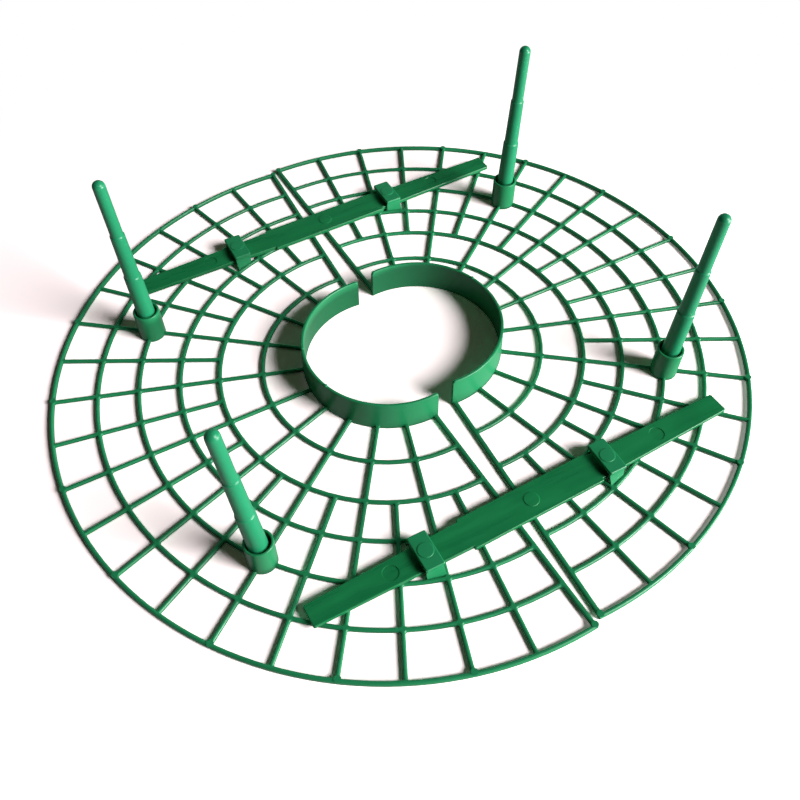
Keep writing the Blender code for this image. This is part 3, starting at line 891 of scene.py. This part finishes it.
def loop_wall(settings, sign, ring, inward):
    """One side wall of a loop, flaring down to the ring below it."""
    grid, loop = settings.grid, settings.loop
    x_middle = loop.from_seam - grid.half_shift
    half = (loop.width - loop.edge) / 2
    top_outer = loop.from_middle - inward * (loop.length / 2 - loop.edge)
    top_inner = loop.from_middle - inward * (loop.length / 2 - loop.wall)
    start = loop.top - loop.plate / 2
    rings = []
    for step in range(FLARE_STEPS + 1):
        share = step / FLARE_STEPS
        flare = share ** FLARE_POWER
        z = start + share * (grid.top - LOOP_INTO_GRID - start)
        ends = []
        for x in (x_middle - half, x_middle + half):
            foot_outer = sqrt((ring + inward * grid.spoke_width * LOOP_ON_RING) ** 2 - x ** 2)
            foot_inner = sqrt((ring + inward * (grid.spoke_width / 2 + loop.foot)) ** 2 - x ** 2)
            foot_inner = inward * min(inward * foot_inner, inward * top_inner)
            ends.append((x, sign * (top_outer + flare * (foot_outer - top_outer)),
                         sign * (top_inner + flare * (foot_inner - top_inner))))
        (x0, out0, in0), (x1, out1, in1) = ends
        rings.append([(x0, out0, z), (x1, out1, z), (x1, in1, z), (x0, in0, z)])
    return softened(lofted("loop wall", rings), LOOP_WALL_EDGE, LOOP_WALL_LIMIT)


def loop_mesh(settings):
    """Both loops of a half: top plates with a moulding mark, on flared walls."""
    grid, loop = settings.grid, settings.loop
    x = loop.from_seam - grid.half_shift
    parts = []
    for sign in (-1, 1):
        y = sign * loop.from_middle
        outline = rounded_profile([(x + right * loop.width / 2, y + up * loop.length / 2, LOOP_CORNER)
                                   for right, up in CORNERS])
        plate = slab("loop plate", outline, loop.top - loop.plate, loop.top, loop.edge)
        parts += [joined_flats(plate), mark(settings.bar, PAD_PROFILE, (x, y), loop.top)]
        parts += [loop_wall(settings, sign, grid.rings[number], inward)
                  for number, inward in zip(LOOP_RINGS, (1, -1))]
    return gathered("loops", parts)


def mark(bar, profile, place, top):
    """A low round form at the place of a moulding mark: the pad a pin left, or the cutter for a dip."""
    points = [(bar.mark / 2 - inset, top + share * bar.mark_depth + height)
              for inset, share, height in profile]
    made = turned("mark", [(0.0, points[0][1]), *points, (0.0, points[-1][1])], MARK_SIDES)
    made.transform(Matrix.Translation((*place, 0.0)))
    return made


# Bars and legs

LEG_FOOT_CORNER = 0.0005
SHOULDER_ROUNDING = (0.35, 0.25)  # shares of the shoulder, below and above the step
LEG_CORNER_STEPS, TIP_STEPS, LEG_SIDES = 3, 12, 48

# How far each leg leans to the right and to the back, in degrees
LEG_LEANS = {
    "back_left": (-1.0, 0.3),
    "back_right": (3.2, 1.1),
    "front_left": (-3.3, 0.1),
    "front_right": (2.9, 0.6),
}


def bar_mesh(bar):
    """One joining bar along X, resting on z = 0."""
    half = [(bar.waist_length / 2, bar.waist / 2, bar.corner), (bar.waist_length / 2, bar.arm / 2, 0.0),
            (bar.length / 2, bar.tip / 2, bar.corner)]
    right = half + [(x, -y, radius) for x, y, radius in reversed(half)]
    outline = rounded_profile(right + [(-x, -y, radius) for x, y, radius in right])
    outline.reverse()
    body = slab("bar", outline, 0.0, bar.thickness, bar.edge)
    sunk = [mark(bar, CUTTER_PROFILE, (bar.mark_step * step, 0.0), bar.thickness) for step in (-1, 1)]
    body = joined_flats(carved(body, gathered("marks", sunk)))
    return gathered("bar", [body, mark(bar, PAD_PROFILE, (0.0, 0.0), bar.thickness)])


def bar_places(settings):
    """World places of the two bars, which follow the loops of the slipped halves."""
    bar, grid, loop = settings.bar, settings.grid, settings.loop
    swing = Matrix.Rotation(atan2(grid.slip, loop.from_seam), 4, "Z")
    slide = Matrix.Translation((bar.shift, 0.0, 0.0))
    return {word: Matrix.Translation((0.0, sign * loop.from_middle, grid.top + bar.lift)) @ swing @ slide
            for word, sign in (("front", -1), ("back", 1))}


def leg_mesh(leg):
    """One stepped leg with rounded shoulders and a domed tip, standing on z = 0."""
    corners = [(0.0, 0.0, 0.0), (leg.foot / 2, 0.0, LEG_FOOT_CORNER)]
    for height, width in zip(leg.steps, leg.ends):
        for end, inset, rounding in zip((-1, 1), (0.0, leg.shoulder), SHOULDER_ROUNDING):
            corners.append((width / 2 - inset, height + end * leg.shoulder_height / 2,
                            leg.shoulder * rounding))
    tip = leg.ends[-1] / 2
    profile = rounded_profile(corners + [(tip, leg.length - tip, 0.0)], LEG_CORNER_STEPS)
    for step in range(1, TIP_STEPS + 1):
        swing = pi / 2 * step / TIP_STEPS
        profile.append(Vector((tip * cos(swing), leg.length - tip + tip * sin(swing))))
    profile[-1].x = 0.0
    return turned("leg", list(reversed(profile)), LEG_SIDES)


def leg_place(settings, word, leans):
    """World place of a leg: upright in its socket, then leant about the socket's middle."""
    grid, leg = settings.grid, settings.leg
    depth, side = word.split("_")
    number = int((depth == "back") == (side == "right"))
    centre = (half_place(grid, SIDES[side]) @ socket_places(grid)[number]).translation
    centre.z = leg.pivot
    right, back = (radians(lean) for lean in leans)
    lean = Matrix.Rotation(right, 4, "Y") @ Matrix.Rotation(-back, 4, "X")
    down = Matrix.Translation((0.0, 0.0, settings.socket.floor + leg.clearance - leg.pivot))
    return Matrix.Translation(centre) @ lean @ down


# Floor, lights and camera

FLOOR_REACH, FLOOR_DROP = 6.0, 0.0002
SENSOR_WIDTH = 36.0  # in millimetres, as the focal length
NEAREST_SEEN = 0.01


def add_floor(stage):
    """A large plain floor just under the grid."""
    mesh = bpy.data.meshes.new("floor")
    mesh.from_pydata([(x * FLOOR_REACH, y * FLOOR_REACH, 0.0) for x, y in CORNERS], [], [(0, 1, 2, 3)])
    mesh.materials.append(floor_paint(stage))
    floor = link("floor", mesh)
    floor.location.z = -FLOOR_DROP
    return floor


def add_light(name, shape, size, power, place):
    """An area light that looks at the middle of the floor."""
    lamp = bpy.data.lights.new(name, "AREA")
    fill(lamp, shape=shape, size=size[0], size_y=size[1], energy=power)
    light = link(name, lamp)
    light.location = place
    light.rotation_euler = place.to_track_quat("Z", "Y").to_euler()
    return light


def add_round_light(name, stage, bearing, height, power):
    """A round light at a bearing and a height angle."""
    place = on_circle(cos(height) * stage.distance, bearing, sin(height) * stage.distance)
    return add_light(name, "DISK", (stage.width, stage.width), power, place)


def add_lights(stage, floor):
    """The soft main light, a back light that spares the floor, and a low strip for upright faces."""
    add_round_light("window light", stage, stage.bearing, stage.height, stage.power)
    light = add_round_light("back light", stage, stage.back_bearing, stage.back_height,
                            stage.back_power)
    light.visible_glossy = False
    spared = bpy.data.collections.new("not lit from behind")
    spared.objects.link(floor)
    light.light_linking.receiver_collection = spared
    spared.collection_objects[0].light_linking.link_state = "EXCLUDE"
    add_light("low strip", "RECTANGLE", (stage.strip_width, stage.strip_height), stage.strip_power,
              on_circle(stage.strip_distance, stage.strip_bearing, stage.strip_height))


def add_sky(scene, stage):
    """White to the camera, faint light for everything else."""
    scene.world = bpy.data.worlds.new("studio")
    scene.world.use_nodes = True
    scene.world.node_tree.nodes.clear()
    maker = Maker(scene.world.node_tree)
    faint, white = (maker.node("ShaderNodeBackground", values={"Color": shade, "Strength": amount})
                    for shade, amount in (((*stage.sky_tint, 1.0), stage.sky), (WHITE, 1.0)))
    seen = maker.node("ShaderNodeLightPath", output="Is Camera Ray")
    maker.node("ShaderNodeOutputWorld", values={"Surface": maker.mixed(seen, faint, white)})


def add_camera(scene, stage):
    """The camera at the photograph's place and angle."""
    lens = bpy.data.cameras.new("camera")
    fill(lens, lens=stage.lens, sensor_width=SENSOR_WIDTH, clip_start=NEAREST_SEEN)
    camera = link("camera", lens)
    right, up = Vector(stage.right).normalized(), Vector(stage.up).normalized()
    facing = Matrix((right, up, right.cross(up))).transposed().to_4x4()
    camera.matrix_world = Matrix.Translation(stage.camera) @ facing
    scene.camera = camera


# Operators


class SUPPORT_OT_stage(bpy.types.Operator):
    """Builds the floor, the light, the surroundings and the camera"""

    bl_idname = "support.stage"
    bl_label = "Floor, Light and Camera"

    def execute(self, context):
        scene, stage = context.scene, context.scene.plant_support.stage
        add_lights(stage, add_floor(stage))
        add_sky(scene, stage)
        add_camera(scene, stage)
        scene.view_settings.view_transform = "Standard"
        return {"FINISHED"}


class SUPPORT_OT_web(bpy.types.Operator):
    """Builds the rings, spokes, rim and knobs of both half grids"""

    bl_idname = "support.web"
    bl_label = "Ring Grids"

    def execute(self, context):
        settings = context.scene.plant_support
        show_halves("web", web_mesh(settings), settings)
        return {"FINISHED"}


class SUPPORT_OT_collar(bpy.types.Operator):
    """Builds the upright wall round the plant hole"""

    bl_idname = "support.collar"
    bl_label = "Collar"

    def execute(self, context):
        settings = context.scene.plant_support
        show_halves("collar", collar_mesh(settings), settings)
        return {"FINISHED"}


class SUPPORT_OT_sockets(bpy.types.Operator):
    """Builds the round cups that take the legs"""

    bl_idname = "support.sockets"
    bl_label = "Leg Sockets"

    def execute(self, context):
        settings = context.scene.plant_support
        cup = socket_mesh(settings)
        pair = gathered("sockets", [moved(cup, place) for place in socket_places(settings.grid)])
        show_halves("sockets", pair, settings)
        return {"FINISHED"}


class SUPPORT_OT_loops(bpy.types.Operator):
    """Builds the loops that hold the joining bars"""

    bl_idname = "support.loops"
    bl_label = "Bar Loops"

    def execute(self, context):
        settings = context.scene.plant_support
        show_halves("loops", loop_mesh(settings), settings)
        return {"FINISHED"}


class SUPPORT_OT_bars(bpy.types.Operator):
    """Builds the two joining bars"""

    bl_idname = "support.bars"
    bl_label = "Joining Bars"

    def execute(self, context):
        settings = context.scene.plant_support
        mesh = bar_mesh(settings.bar)
        for word, place in bar_places(settings).items():
            show(f"bar_{word}", moved(mesh, place), f"bar_{word}", [f"joining_bar_{word}"], "bar",
                 settings.finish)
        return {"FINISHED"}


class SUPPORT_OT_legs(bpy.types.Operator):
    """Builds the four stepped legs"""

    bl_idname = "support.legs"
    bl_label = "Legs"

    def execute(self, context):
        settings = context.scene.plant_support
        mesh = leg_mesh(settings.leg)
        for word, leans in LEG_LEANS.items():
            placed = moved(mesh, leg_place(settings, word, leans))
            show(f"stake_{word}", placed, f"leg_{word}", [f"leg_{word}"], "leg", settings.finish)
        return {"FINISHED"}


OPERATORS = (SUPPORT_OT_stage, SUPPORT_OT_web, SUPPORT_OT_collar, SUPPORT_OT_sockets, SUPPORT_OT_loops,
             SUPPORT_OT_bars, SUPPORT_OT_legs)


class SUPPORT_PT_pieces(bpy.types.Panel):
    """Lists the pieces and the main sizes"""

    bl_label = "Plant Support"
    bl_space_type = "VIEW_3D"
    bl_region_type = "UI"
    bl_category = "Plant Support"

    def draw(self, context):
        column = self.layout.column(align=True)
        for operator in OPERATORS:
            column.operator(operator.bl_idname)
        settings = context.scene.plant_support
        for group in ("grid", "collar", "socket", "loop", "bar", "leg", "finish", "stage"):
            box = self.layout.box()
            box.label(text=group.capitalize())
            values = getattr(settings, group)
            for name in values.bl_rna.properties.keys():
                if name not in {"rna_type", "name"}:
                    box.prop(values, name)


CLASSES = (GridSizes, CollarSizes, SocketSizes, LoopSizes, BarSizes, LegSizes, Finishes, StageSettings,
           SupportSettings, *OPERATORS, SUPPORT_PT_pieces)


def register():
    """Adds the classes and the scene's settings."""
    for item in CLASSES:
        bpy.utils.register_class(item)
    bpy.types.Scene.plant_support = PointerProperty(type=SupportSettings)


def unregister():
    """Removes what register added."""
    del bpy.types.Scene.plant_support
    for item in reversed(CLASSES):
        bpy.utils.unregister_class(item)


def main():
    """Registers the classes and builds everything."""
    register()
    for operator in OPERATORS:
        group, name = operator.bl_idname.split(".")
        getattr(getattr(bpy.ops, group), name)()


if __name__ == "__main__":
    main()
